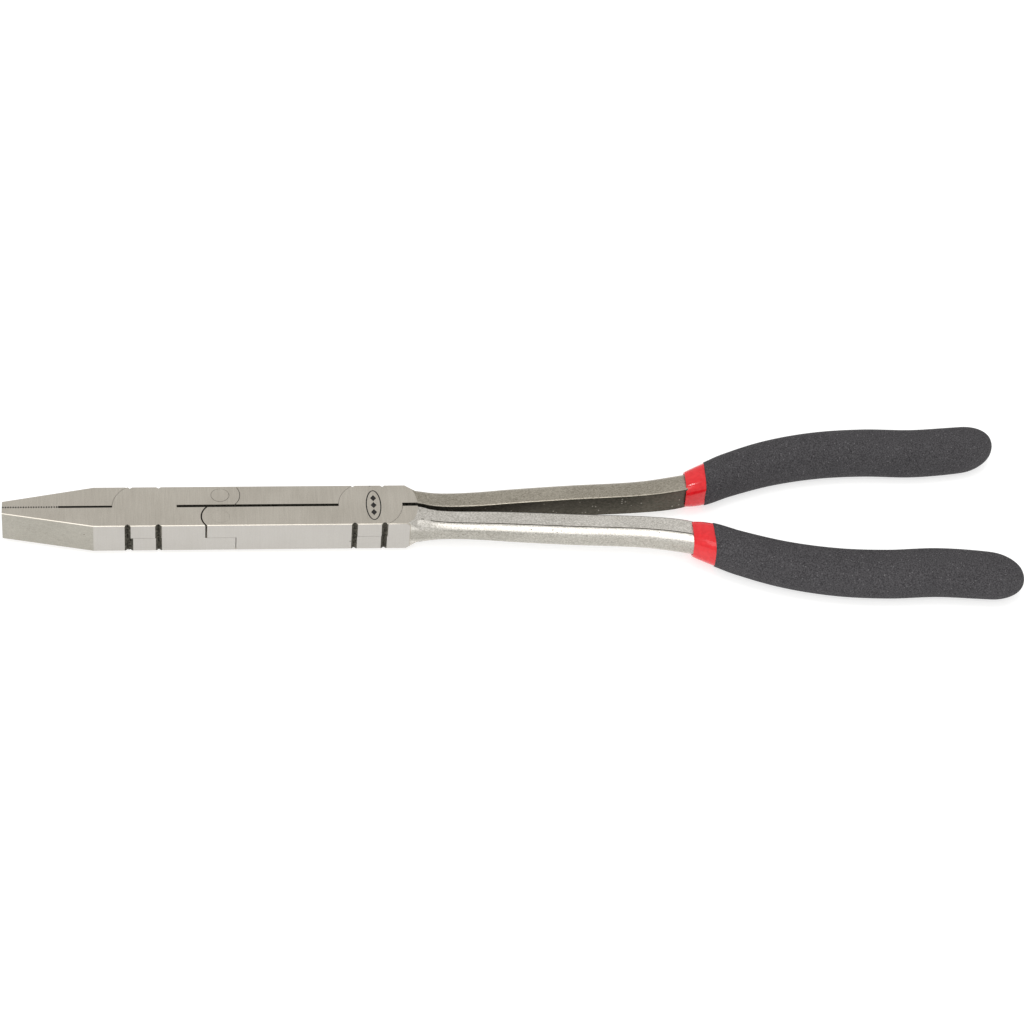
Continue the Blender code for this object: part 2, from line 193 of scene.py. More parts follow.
def feed(shader, **signals):
    """Links what varies over the surface to the shader's sockets."""
    for socket, wire in signals.items():
        wire.tree.links.new(wire.socket, shader.inputs[socket.replace("_", " ")])


def noise(place, scale, detail=2.0, stretch=(1.0, 1.0, 1.0), roughness=0.5):
    """Fractal noise with a number of lumps per metre, stretched along each axis."""
    spread = place.node("ShaderNodeMapping", {}, {"Vector": place, "Scale": [scale * s for s in stretch]})
    inputs = {"Vector": spread, "Scale": 1.0, "Detail": detail, "Roughness": roughness}
    return place.node("ShaderNodeTexNoise", {}, inputs)


def pits(place, scale, share, size):
    """1 in a few small round spots, 0 elsewhere: share of the cells hold one, size is its part of a cell."""
    cell = {"Vector": place, "Scale": scale}
    distance = place.node("ShaderNodeTexVoronoi", {}, cell)
    chance = place.node("ShaderNodeTexVoronoi", {}, cell, output=1)
    chosen = place.node("ShaderNodeSeparateColor", {}, {0: chance}).ramp(1.0 - share, 1.0 - share + 0.01)
    return (1.0 - distance.ramp(size * 0.5, size)) * chosen


def bump(height, distance, strength=1.0):
    """A normal raised by height times distance."""
    inputs = {"Strength": strength, "Distance": distance, "Height": height}
    return height.node("ShaderNodeBump", {}, inputs)


def ground_steel(name, stretch, dark, light, depth):
    """Satin nickel on a ground flat: fine scratches one way, an even grain, faint clouds and a few pores."""
    material, shader, place = new_material(name, Metallic=1.0)
    scratches = noise(place, 3200.0, 4.0, stretch, 0.62)
    grain = noise(place, 2600.0, 3.0)
    clouds = noise(place, 70.0, 3.0, (1.0, 1.0, 1.0))
    pores = pits(place, 420.0, 0.03, 0.14)
    tone = scratches.ramp(0.28, 0.72) * 0.35 + grain.ramp(0.3, 0.7) * 0.4 + clouds.ramp(0.3, 0.7) * 0.25
    feed(
        shader,
        Base_Color=pores.blend(tone.blend(dark, light), (0.20, 0.19, 0.16, 1.0)),
        Roughness=scratches * 0.12 + grain * 0.10 + 0.26,
        Normal=bump(scratches * depth + grain * 0.5 - pores, 0.012 * MM, 0.5),
    )
    return material


cross_ground = ground_steel(
    "cross_ground_nickel", (1.0, 0.035, 0.035), (0.470, 0.435, 0.375, 1.0), (0.650, 0.610, 0.540, 1.0), 0.5
)
# A darker copy of the ground nickel for the upright side faces: painted shade, for how light falls on those
# sides.
shaded_side_ground = ground_steel(
    "shaded_side_ground_nickel", (1.0, 0.5, 0.035), (0.455, 0.434, 0.402, 1.0), (0.522, 0.503, 0.473, 1.0), 0.3
)
length_ground = ground_steel(
    "length_ground_nickel", (0.03, 1.0, 1.0), (0.298, 0.283, 0.246, 1.0), (0.456, 0.436, 0.384, 1.0), 1.2
)

# Dark unground crust inside the notches and teeth. On the slot walls the same dark colour is painted shade in
# the narrow gaps.
notch_crust_and_slot_shade, notch_shader, place = new_material("notch_crust_and_painted_slot_shade", Metallic=0.85)
crust = noise(place, 1500.0, 4.0)
feed(
    notch_shader,
    Base_Color=crust.ramp(0.3, 0.75).blend((0.030, 0.028, 0.022, 1.0), (0.16, 0.15, 0.12, 1.0)),
    Roughness=crust * 0.3 + 0.4,
    Normal=bump(crust, 0.12 * MM, 0.8),
)


def choose(piece):
    """Makes one object the only selected one, and the active one."""
    bpy.ops.object.select_all(action="DESELECT")
    piece.select_set(True)
    bpy.context.view_layer.objects.active = piece


def settle(name, material=None):
    """Names the object just added, gives it a material, and moves its place into its mesh."""
    piece = bpy.context.object
    piece.name = name
    choose(piece)
    bpy.ops.object.transform_apply(location=True, rotation=True, scale=True)
    if material:
        piece.data.materials.append(material)
    return piece


def block(name, low, high, material=None):
    """A box between two corners."""
    low, high = Vector(low), Vector(high)
    bpy.ops.object.select_all(action="DESELECT")
    bpy.ops.mesh.primitive_cube_add(size=1.0, location=(low + high) / 2, scale=high - low)
    return settle(name, material)


def drum(name, centre, radius, low, high, material=None, sides=round_sides):
    """An upright cylinder between two heights."""
    bpy.ops.object.select_all(action="DESELECT")
    location = (centre.x, centre.y, (low + high) / 2)
    bpy.ops.mesh.primitive_cylinder_add(vertices=sides, radius=radius, depth=high - low, location=location)
    return settle(name, material)


def cut_off(piece, point, outward):
    """Saws off what lies beyond a plane, and closes the cut."""
    choose(piece)
    bpy.ops.object.mode_set(mode="EDIT")
    bpy.ops.mesh.select_all(action="SELECT")
    bpy.ops.mesh.bisect(plane_co=point, plane_no=outward, use_fill=True, clear_outer=True, threshold=1e-7)
    bpy.ops.object.mode_set(mode="OBJECT")


def apply_modifier(piece, kind, **settings):
    """Adds a modifier, sets it and applies it."""
    choose(piece)
    step = piece.modifiers.new(kind.lower(), kind)
    for key, value in settings.items():
        setattr(step, key, value)
    bpy.ops.object.modifier_apply(modifier=step.name)


def work(piece, tool, operation):
    """Cuts a tool from a piece or joins it on, and throws the tool away."""
    settings = {"object": tool, "operation": operation, "solver": "MANIFOLD", "material_mode": "TRANSFER"}
    apply_modifier(piece, "BOOLEAN", **settings)
    bpy.data.objects.remove(tool)


def break_edges(piece, corner, outward):
    """Planes off the top and the bottom edge of the upright side through corner that faces outward."""
    for way, face in ((1.0, top), (-1.0, bottom)):
        start = Vector((corner[0], corner[1], face)) - Vector(outward) * edge_break
        cut_off(piece, start, Vector(outward) + Vector((0.0, 0.0, way)))


def refinish(piece, material, wanted):
    """Gives another finish to the faces that wanted picks by their centre and normal."""
    piece.data.materials.append(material)
    for face in piece.data.polygons:
        if wanted(face.center, face.normal):
            face.material_index = len(piece.data.materials) - 1


def smooth_faces(piece):
    """Shades round faces smooth, and keeps flat ones flat up to their broken edges."""
    choose(piece)
    bpy.ops.object.shade_smooth_by_angle(angle=math.radians(32))
    apply_modifier(piece, "WEIGHTED_NORMAL", mode="FACE_AREA", keep_sharp=True)


def merge_flats(piece):
    """Removes the edges that joining leaves across flat faces."""
    choose(piece)
    bpy.ops.object.mode_set(mode="EDIT")
    bpy.ops.mesh.select_all(action="SELECT")
    bpy.ops.mesh.remove_doubles(threshold=1e-6)
    bpy.ops.mesh.dissolve_limited(angle_limit=math.radians(0.5), delimit={"NORMAL", "MATERIAL"})
    bpy.ops.object.mode_set(mode="OBJECT")


def twin(piece, name):
    """A copy with its own mesh, turned half a turn about the tool's long axis."""
    choose(piece)
    bpy.ops.object.duplicate()
    copy = bpy.context.object
    copy.matrix_world = Matrix.Translation((0.0, 0.0, 2 * mid_height)) @ Matrix.Rotation(math.pi, 4, "X")
    return settle(name)


def fit(piece, node, body):
    """Puts a finished piece in place of its plain node."""
    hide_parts(node)
    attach(piece, body)


def rivet_body(name, centre, shank, head, reach, material):
    """A shank whose two ends are flared into countersunk heads."""
    neck = half_thickness - rivet_head_depth
    piece = drum(name, centre, shank, centre.z - neck, centre.z + neck, material, 64)
    for way in (1, -1):
        choose(piece)
        bpy.ops.object.mode_set(mode="EDIT")
        bpy.ops.mesh.select_all(action="DESELECT")
        bpy.ops.object.mode_set(mode="OBJECT")
        for face in piece.data.polygons:
            face.select = face.normal.z * way > 0.9
        bpy.ops.object.mode_set(mode="EDIT")
        bpy.ops.mesh.extrude_region_move(TRANSFORM_OT_translate={"value": (0.0, 0.0, way * rivet_head_depth)})
        top = (centre.x, centre.y, centre.z + way * half_thickness)
        bpy.ops.transform.resize(value=(head / shank, head / shank, 1.0), center_override=top)
        if reach:
            bpy.ops.mesh.extrude_region_move(TRANSFORM_OT_translate={"value": (0.0, 0.0, way * reach)})
        bpy.ops.object.mode_set(mode="OBJECT")
    return piece


top, bottom = mid_height + half_thickness, mid_height - half_thickness
lap_top = mid_height + lap_gap

jaw = block("lower_jaw_forged", (tip_x, -half_width, bottom), (front_pivot.x, -bite, top), cross_ground)
slot_low = (tip_x + teeth_length, -jaw_slot, bottom - spare)
slot_tool = block("slot", slot_low, (front_pivot.x, spare, top + spare), cross_ground)
work(jaw, slot_tool, "DIFFERENCE")
taper = Vector((taper_end_x - tip_x, tip_half_width - half_width, 0.0))
cut_off(jaw, (taper_end_x, -half_width, 0.0), taper.cross(Vector((0.0, 0.0, 1.0))))
cheek = drum("cheek", front_pivot, lap_radius, bottom, top, cross_ground)
cut_off(cheek, (0.0, half_width, 0.0), (0.0, 1.0, 0.0))
cut_off(cheek, (0.0, -half_width, 0.0), (0.0, -1.0, 0.0))
work(jaw, cheek, "UNION")
jaw_arm = block("arm", (front_pivot.x, middle_slot, bottom), (upper_link.x, half_width, top), cross_ground)
tongue = drum("tongue", upper_link, jaw_tongue_radius, bottom, top, cross_ground)
cut_off(tongue, (0.0, half_width, 0.0), (0.0, 1.0, 0.0))
cut_off(tongue, (0.0, middle_slot, 0.0), (0.0, -1.0, 0.0))
work(jaw_arm, tongue, "UNION")
work(jaw, jaw_arm, "UNION")
merge_flats(jaw)
taper_out = taper.cross(Vector((0.0, 0.0, 1.0))).normalized()
break_edges(jaw, (taper_end_x, -half_width), taper_out)
break_edges(jaw, (0.0, -half_width), (0.0, -1.0, 0.0))
break_edges(jaw, (0.0, half_width), (0.0, 1.0, 0.0))
seat = drum("seat", front_pivot, lap_radius + seam, bottom - spare, lap_top, cross_ground)
shoulder = (front_pivot.x, -half_width - spare, bottom - 2 * spare)
tight = block("tight_side", shoulder, (front_pivot.x + 2 * lap_radius, half_width + spare, lap_top + spare))
work(seat, tight, "DIFFERENCE")
work(jaw, seat, "DIFFERENCE")
seat = drum("seat", front_pivot, lap_radius + hairline, bottom - spare, lap_top, cross_ground)
work(jaw, seat, "DIFFERENCE")
seat = drum("seat", upper_link, jaw_link_seat_radius, bottom - spare, lap_top, cross_ground)
work(jaw, seat, "DIFFERENCE")


def notch(piece, x, y, reach=notch_half_width, depth=notch_depth):
    """Mills one V notch straight through the thickness."""
    bpy.ops.object.select_all(action="DESELECT")
    bpy.ops.mesh.primitive_cylinder_add(vertices=4, radius=1.0, depth=1.0, location=(x, y, mid_height))
    bpy.context.object.scale = (reach, depth, top - bottom + 2 * spare)
    work(piece, settle("notch", notch_crust_and_slot_shade), "DIFFERENCE")


# The teeth are cut first, then the relief notches across both edges beside the pivot.
pitch = teeth_length / tooth_count
for tooth in range(tooth_count):
    notch(jaw, tip_x + pitch * (tooth + 0.5), -bite, tooth_half_width, tooth_depth)
for offset in front_near_notches:
    notch(jaw, front_pivot.x + offset, -half_width)
for offset in front_far_notches:
    notch(jaw, front_pivot.x + offset, half_width)

rivet_gap = 0.03 * MM
hidden_head_gap = rivet_gap / 3
ring_gap = 4 * rivet_gap


def drill(piece, centre, shank, head):
    """Drills and countersinks a rivet's hole."""
    work(piece, rivet_body("hole", centre, shank, head, spare, cross_ground), "DIFFERENCE")


drill(jaw, front_pivot, pivot_shank + rivet_gap, pivot_head + hidden_head_gap)
drill(jaw, upper_link, link_shank + rivet_gap, link_head + ring_gap)


def on_edge(centre, normal):
    """Whether a face is part of the ground edges along both sides of the head."""
    return abs(normal.y) > 0.99 and abs(abs(centre.y) - half_width) < 1e-5


def on_taper(centre, normal):
    """Whether a face is part of the jaw's tapered side."""
    return normal.dot(taper_out) > 0.999 and centre.x < taper_end_x


def in_slot(centre, normal):
    """Whether a face is a wall of the slot behind the teeth or of the one behind the front cheek."""
    return abs(normal.y) > 0.99 and bite * 2 < abs(centre.y) < middle_slot + 1e-5


# The upright sides take the darker nickel: painted shade.
refinish(jaw, shaded_side_ground, on_edge)
refinish(jaw, length_ground, on_taper)
# The slot walls are painted dark: painted shade in the narrow gaps.
refinish(jaw, notch_crust_and_slot_shade, in_slot)
smooth_faces(jaw)

# The upper jaw has one notch more, so that the first of the near ones runs through both levers at the lap.
upper_jaw = twin(jaw, "upper_jaw_forged")
notch(upper_jaw, front_pivot.x + front_near_notches[0], -half_width)
fit(jaw, "lower_jaw", "lower_jaw")
fit(upper_jaw, "upper_jaw", "upper_jaw")


# ---------------------------------------------------------------------------------------------------------
# Rivets. Four steel rivets with countersunk heads, peened and ground flush with both faces of the head. The
# two pivot rivets vanish in the grinding; the link rivets show as a faint ring.
rivets = (
    ("front_pivot_rivet", front_pivot, pivot_shank, pivot_head, "lower_jaw"),
    ("rear_pivot_rivet", rear_pivot, pivot_shank, pivot_head, "lower_handle"),
    ("upper_link_rivet", upper_link, link_shank, link_head, "lower_handle"),
    ("lower_link_rivet", lower_link, link_shank, link_head, "upper_handle"),
)
for node, centre, shank, head, body in rivets:
    piece = rivet_body(node + "_ground", centre, shank, head, 0.0, cross_ground)
    smooth_faces(piece)
    fit(piece, node, body)


# ---------------------------------------------------------------------------------------------------------
# Handle levers. Each forging starts at the lower link with a half-thickness tongue, runs back along the head,
# crosses in the rear cheek and leaves as a long D-shaped arm. The head is ground flat like the jaws, up to a
# round step; behind it the arm keeps its forged skin under the nickel.
handle_link_seat_radius = 6.7 * MM
head_radius = 15.8 * MM
neck_x = -36.3 * MM
neck_end_x = -29.0 * MM
neck_fall = (0.424, 0.55, 0.55)
neck_corner = 0.3 * MM
neck_share = 0.98
neck_steps = 12
rear_slot = 0.75 * MM
rear_near_notches = (-5.6 * MM, 4.4 * MM)
rear_far_notches = (-5.7 * MM, 4.3 * MM)

arm_start_x = rear_pivot.x + lap_radius + 0.3 * MM
arm_end_x = 161.0 * MM
arm_centre = (
    (-44, 4.85), (-27, 4.85), (-11, 5.4), (1, 6.3), (20, 7.7), (45, 9.3), (54, 10.7), (60, 12.1),
    (66.3, 14.4), (75, 18.7), (90, 24.4), (107, 28.1), (124, 29.3), (141, 28.8), (155, 30.0), (170, 32.1),
)
arm_width = ((-37, 8.1), (-27, 8.0), (1, 8.6), (45, 8.8), (57, 9.1), (61, 8.8), (70, 8.4), (162, 7.6))
arm_thickness = (
    (-37, 11.6), (-33, 11.5), (-31, 10.8), (-28.5, 9.3), (-25.5, 8.0), (-21, 7.2), (-14, 7.1), (1, 7.9),
    (45, 8.5), (57, 8.9), (62, 8.6), (70, 8.2), (162, 7.6),
)
arm_nominal = Vector((8.6, 7.9)) * MM
arm_inner_corner = 0.5 * MM
arm_outer_corner = 2.9 * MM
arm_crease = 0.19 * MM
arm_crown = 0.93
arm_steps = 90


def along_tool(knots, x):
    """The value at x on a smooth curve through knots of (x, value), all in millimetres."""
    x = x / MM
    if x <= knots[0][0]:
        return knots[0][1] * MM
    if x >= knots[-1][0]:
        return knots[-1][1] * MM
    slopes = [(b[1] - a[1]) / (b[0] - a[0]) for a, b in zip(knots, knots[1:])]
    tangents = [slopes[0], *((a + b) / 2 for a, b in zip(slopes, slopes[1:])), slopes[-1]]
    i = max(k for k in range(len(slopes)) if knots[k][0] <= x)
    span = knots[i + 1][0] - knots[i][0]
    t = (x - knots[i][0]) / span
    value = (
        knots[i][1] * (2 * t**3 - 3 * t**2 + 1)
        + tangents[i] * span * (t**3 - 2 * t**2 + t)
        + knots[i + 1][1] * (3 * t**2 - 2 * t**3)
        + tangents[i + 1] * span * (t**3 - t**2)
    )
    return value * MM


def rounded_plate(name, x, width, thickness, inner_corner, outer_corner, segments, material):
    """A flat rounded rectangle across the tool at x, on the upper handle's centreline."""
    centre = (x, along_tool(arm_centre, x), mid_height)
    bpy.ops.object.select_all(action="DESELECT")
    bpy.ops.mesh.primitive_plane_add(size=1.0, location=centre, rotation=(0.0, math.pi / 2, 0.0))
    bpy.context.object.scale = (thickness, width, 1.0)
    plate = settle(name, material)
    for corner, inner in ((inner_corner, True), (outer_corner, False)):
        choose(plate)
        bpy.ops.object.mode_set(mode="EDIT")
        bpy.ops.mesh.select_mode(type="VERT")
        bpy.ops.mesh.select_all(action="DESELECT")
        bpy.ops.object.mode_set(mode="OBJECT")
        ends = (min if inner else max)(vertex.co.y for vertex in plate.data.vertices)
        for vertex in plate.data.vertices:
            vertex.select = abs(vertex.co.y - ends) < 1e-6
        bpy.ops.object.mode_set(mode="EDIT")
        bpy.ops.mesh.bevel(offset=corner, segments=segments, affect="VERTICES")
        bpy.ops.object.mode_set(mode="OBJECT")
    return plate


def draw_out(piece, stations):
    """Extrudes a piece through (x, centre y, width, thickness) stations, the first of them its own."""
    choose(piece)
    bpy.ops.object.mode_set(mode="EDIT")
    bpy.ops.mesh.select_all(action="SELECT")
    for before, after in zip(stations, stations[1:]):
        step = (after[0] - before[0], after[1] - before[1], 0.0)
        bpy.ops.mesh.extrude_region_move(TRANSFORM_OT_translate={"value": step})
        size = (1.0, after[2] / before[2], after[3] / before[3])
        bpy.ops.transform.resize(value=size, center_override=(after[0], after[1], mid_height))
    bpy.ops.mesh.select_all(action="SELECT")
    bpy.ops.mesh.normals_make_consistent(inside=False)
    bpy.ops.object.mode_set(mode="OBJECT")


def spread(start, end, count):
    """Evenly spaced places from start to end."""
    return [start + (end - start) * i / (count - 1) for i in range(count)]


def slant(x):
    """How much wider the section square to the tool is than the one square to the handle's own line."""
    rise = along_tool(arm_centre, x + 0.5 * MM) - along_tool(arm_centre, x - 0.5 * MM)
    return math.hypot(1.0, rise / MM)


forged, forged_shader, place = new_material("forged_nickel", Metallic=1.0)
skin = noise(place, 2400.0, 5.0, (0.7, 1.0, 1.0), 0.65)
dents = noise(place, 230.0, 2.0, (0.5, 1.0, 1.0))
clouds = noise(place, 60.0, 3.0, (0.5, 1.0, 1.0))
pocks = pits(place, 700.0, 0.10, 0.20)
tone = skin.ramp(0.33, 0.67) * 0.75 + clouds.ramp(0.3, 0.7) * 0.25
# Painted light and shade by place: the far lever gets a darker, browner skin as painted shade. On the near
# lever the top and bottom faces are painted lighter and the sides darker, for how light falls on them.
far_lever_shade_mask = place.node("ShaderNodeSeparateXYZ", {}, {0: place}, output=1).ramp(-2.0 * MM, 2.0 * MM)
height = place.node("ShaderNodeSeparateXYZ", {}, {0: place}, output=2) - mid_height
lit_face_mask = (height * height).ramp((1.2 * MM) ** 2, (3.0 * MM) ** 2)
lit_face_skin = tone.blend((0.42, 0.40, 0.355, 1.0), (0.84, 0.81, 0.76, 1.0))
shaded_side_skin = tone.blend((0.27, 0.255, 0.22, 1.0), (0.56, 0.54, 0.49, 1.0))
far_lever_shaded_skin = tone.blend((0.25, 0.225, 0.18, 1.0), (0.56, 0.52, 0.44, 1.0))
near_lever_lit_skin = lit_face_mask.blend(shaded_side_skin, lit_face_skin)
feed(
    forged_shader,
    Base_Color=pocks.blend(far_lever_shade_mask.blend(near_lever_lit_skin, far_lever_shaded_skin), (0.20, 0.185, 0.155, 1.0)),
    Roughness=skin * 0.16 + clouds * 0.06 + 0.28,
    Normal=bump(skin * 0.6 + dents - pocks * 0.4, 0.09 * MM, 0.7),
)

# Painted shade: a near-black skin for the arm's inner side, which faces the other lever. It is mottled with
# noise and has a few painted glints.
painted_shade_skin, painted_shade_shader, place = new_material("dark_painted_shade", Metallic=0.9)
crust = noise(place, 1500.0, 4.0, (0.7, 1.0, 1.0), 0.6)
patches = noise(place, 90.0, 3.0, (0.4, 1.0, 1.0))
glints = pits(place, 900.0, 0.12, 0.30)
tone = crust.ramp(0.3, 0.7) * 0.6 + patches.ramp(0.3, 0.7) * 0.4
feed(
    painted_shade_shader,
    Base_Color=glints.blend(
        tone.blend((0.055, 0.050, 0.038, 1.0), (0.135, 0.122, 0.098, 1.0)), (0.32, 0.30, 0.26, 1.0)
    ),
    Roughness=crust * 0.2 + 0.36,
    Normal=bump(crust, 0.08 * MM, 0.8),
)

head_low = (lower_link.x, -half_width, bottom)
handle_arm = block("upper_handle_forged", head_low, (rear_pivot.x, -middle_slot, top), cross_ground)
tongue = drum("tongue", lower_link, handle_tongue_radius, bottom, top, cross_ground)
cut_off(tongue, (0.0, -half_width, 0.0), (0.0, -1.0, 0.0))
cut_off(tongue, (0.0, -middle_slot, 0.0), (0.0, 1.0, 0.0))
work(handle_arm, tongue, "UNION")
cheek = drum("cheek", rear_pivot, lap_radius, bottom, top, cross_ground)
cut_off(cheek, (0.0, half_width, 0.0), (0.0, 1.0, 0.0))
cut_off(cheek, (0.0, -half_width, 0.0), (0.0, -1.0, 0.0))
work(handle_arm, cheek, "UNION")
head = drum("head", rear_pivot, head_radius, bottom, top, cross_ground)
cut_off(head, (0.0, half_width, 0.0), (0.0, 1.0, 0.0))
cut_off(head, (0.0, rear_slot, 0.0), (0.0, -1.0, 0.0))
cut_off(head, (rear_pivot.x, 0.0, 0.0), (-1.0, 0.0, 0.0))


def trim_neck(piece):
    """Slopes off the outer corners where the flat head runs out into the arm."""
    for way, face in ((1.0, top), (-1.0, bottom)):
        cut_off(piece, (neck_x, half_width, face), (neck_fall[0], neck_fall[1], neck_fall[2] * way))


trim_neck(head)
work(handle_arm, head, "UNION")
merge_flats(handle_arm)
break_edges(handle_arm, (0.0, -half_width), (0.0, -1.0, 0.0))
break_edges(handle_arm, (0.0, half_width), (0.0, 1.0, 0.0))

arm = rounded_plate("arm", arm_start_x, *arm_nominal, arm_inner_corner, arm_outer_corner, 4, forged)
choose(arm)
bpy.ops.object.mode_set(mode="EDIT")
bpy.ops.mesh.select_all(action="DESELECT")
bpy.ops.object.mode_set(mode="OBJECT")
crease_y = max(corner.co.y for corner in arm.data.vertices) - arm_outer_corner
for corner in arm.data.vertices:
    corner.select = abs(corner.co.y - crease_y) < 1e-6
bpy.ops.object.mode_set(mode="EDIT")
bpy.ops.mesh.bevel(offset=arm_crease, segments=1, affect="VERTICES")
bpy.ops.mesh.select_all(action="DESELECT")
bpy.ops.object.mode_set(mode="OBJECT")
for corner in arm.data.vertices:
    corner.select = corner.co.y > crease_y - arm_crease - 1e-6
bpy.ops.object.mode_set(mode="EDIT")
bpy.ops.transform.resize(value=(1.0, 1.0, arm_crown), center_override=(arm_start_x, 0.0, mid_height))
bpy.ops.mesh.select_all(action="SELECT")
first_width, first_thickness = along_tool(arm_width, arm_start_x), along_tool(arm_thickness, arm_start_x)
bpy.ops.transform.resize(
    value=(1.0, first_width / arm_nominal.x, first_thickness / arm_nominal.y),
    center_override=(arm_start_x, along_tool(arm_centre, arm_start_x), mid_height),
)
bpy.ops.object.mode_set(mode="OBJECT")
stations = [
    (x, along_tool(arm_centre, x), along_tool(arm_width, x) * slant(x), along_tool(arm_thickness, x))
    for x in spread(arm_start_x, arm_end_x, arm_steps)
]
draw_out(arm, stations)
# The arm's inner side, which faces the other lever, takes the painted shade.
refinish(arm, painted_shade_skin, lambda centre, normal: normal.y < -0.7)

# The narrow strips along the arm's crease get a material of their own: the forged colour on this lever, and
# on its twin the painted shade, a dark painted line along the crease.
crease_nickel = forged.copy()
crease_nickel.name = "crease_nickel"
arm.data.materials.append(crease_nickel)
for face in arm.data.polygons:
    first, second, third = (arm.data.vertices[i].co for i in face.vertices[:3])
    narrow = min((second - first).length, (third - second).length) < 2.2 * arm_crease
    if narrow and abs(face.normal.z) > 0.97:
        face.material_index = 2

# Inside the arm's first stretch a squarer core fills its corners out to the flat head.
x, _, width, thickness = stations[0]
neck = rounded_plate("neck", x, width, thickness, neck_corner, neck_corner, 2, forged)
stations = [
    (
        x,
        along_tool(arm_centre, x),
        along_tool(arm_width, x) * slant(x),
        along_tool(arm_thickness, x) * neck_share,
    )
    for x in spread(arm_start_x, neck_end_x, neck_steps)
]
draw_out(neck, stations)
# The neck's inner side takes the painted shade as well.
refinish(neck, painted_shade_skin, lambda centre, normal: normal.y < -0.7)
trim_neck(neck)
work(arm, neck, "UNION")
work(handle_arm, arm, "UNION")

seat = drum("seat", rear_pivot, lap_radius + seam, bottom - spare, lap_top, cross_ground)
work(handle_arm, seat, "DIFFERENCE")
seat = drum("seat", lower_link, handle_link_seat_radius, bottom - spare, lap_top, cross_ground)
work(handle_arm, seat, "DIFFERENCE")
for offset in rear_near_notches:
    notch(handle_arm, rear_pivot.x + offset, -half_width)
for offset in rear_far_notches:
    notch(handle_arm, rear_pivot.x + offset, half_width)
drill(handle_arm, rear_pivot, pivot_shank + rivet_gap, pivot_head + hidden_head_gap)
drill(handle_arm, lower_link, link_shank + rivet_gap, link_head + rivet_gap)


def in_handle_slot(centre, normal):
    """Whether a face is a wall of the slot ahead of the rear cheek or of the one behind it."""
    return abs(normal.y) > 0.99 and abs(centre.y) < rear_slot + 1e-5


# The upright sides take the darker nickel: painted shade.
refinish(handle_arm, shaded_side_ground, on_edge)
# The slot walls are painted dark: painted shade in the narrow gaps.
refinish(handle_arm, notch_crust_and_slot_shade, in_handle_slot)
smooth_faces(handle_arm)
lower_handle = twin(handle_arm, "lower_handle_forged")
# On the lower lever the crease strips take the painted shade.
lower_handle.data.materials[lower_handle.data.materials.find("crease_nickel")] = painted_shade_skin
fit(handle_arm, "upper_handle", "upper_handle")
fit(lower_handle, "lower_handle", "lower_handle")


# ---------------------------------------------------------------------------------------------------------
# Oval mark. A plain etched oval over the rear joint, darkened with ink, with three small lozenges in it.
mark_centre = Vector((rear_pivot.x + 1.0 * MM, -0.3 * MM, top))
mark_half_length = 7.0 * MM
mark_half_width = 2.6 * MM
mark_line = 0.38 * MM
mark_height = 0.015 * MM
lozenge_half_width = 1.0 * MM
lozenge_half_length = 1.45 * MM
lozenge_pitch = 3.3 * MM

ink, ink_shader, place = new_material("etch_ink", Specular_IOR_Level=0.2)
fade = noise(place, 2600.0, 3.0)
feed(
    ink_shader,
    Base_Color=fade.ramp(0.4, 0.8).blend((0.010, 0.010, 0.009, 1.0), (0.06, 0.055, 0.05, 1.0)),
    Roughness=fade * 0.2 + 0.6,
)
bpy.ops.object.select_all(action="DESELECT")
bpy.ops.mesh.primitive_circle_add(vertices=96, radius=1.0, fill_type="NGON", location=mark_centre)
bpy.context.object.scale = (mark_half_width, mark_half_length, 1.0)
mark = settle("oval_mark", ink)
choose(mark)
bpy.ops.object.mode_set(mode="EDIT")
bpy.ops.mesh.select_all(action="SELECT")
bpy.ops.mesh.inset(thickness=mark_line)
bpy.ops.mesh.delete(type="FACE")
bpy.ops.object.mode_set(mode="OBJECT")
for place_y in (-1, 0, 1):
    bpy.ops.object.select_all(action="DESELECT")
    spot = mark_centre + Vector((0.0, place_y * lozenge_pitch, 0.0))
    bpy.ops.mesh.primitive_circle_add(vertices=4, radius=1.0, fill_type="NGON", location=spot)
    bpy.context.object.scale = (lozenge_half_width, lozenge_half_length, 1.0)
    lozenge = settle("lozenge", ink)
    mark.select_set(True)
    bpy.context.view_layer.objects.active = mark
    bpy.ops.object.join()
choose(mark)
bpy.ops.object.mode_set(mode="EDIT")
bpy.ops.mesh.select_all(action="SELECT")
bpy.ops.mesh.extrude_region_move(TRANSFORM_OT_translate={"value": (0.0, 0.0, mark_height)})
bpy.ops.mesh.select_all(action="SELECT")
bpy.ops.mesh.normals_make_consistent(inside=False)
bpy.ops.object.mode_set(mode="OBJECT")
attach(mark, "upper_handle")


# ---------------------------------------------------------------------------------------------------------
# Sleeves. The first dip: glossy red vinyl straight on the steel. A collar of it shows ahead of the grip, with
# a rolled lip where the dip stopped.
sleeve_low, sleeve_high = (Vector(corner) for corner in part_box("upper_sleeve"))
sleeve_start_x = sleeve_low.x
collar_end_x = 67.4 * MM
sleeve_width = ((59, 9.9), (61.5, 11.0), (66.5, 12.2), (69, 12.2), (76, 10.5), (163, 9.4))
sleeve_thickness = ((59, 9.8), (61.5, 10.9), (66.5, 12.0), (69, 12.0), (76, 10.4), (163, 9.4))
sleeve_corner = 3.9 * MM
sleeve_wall = 0.7 * MM

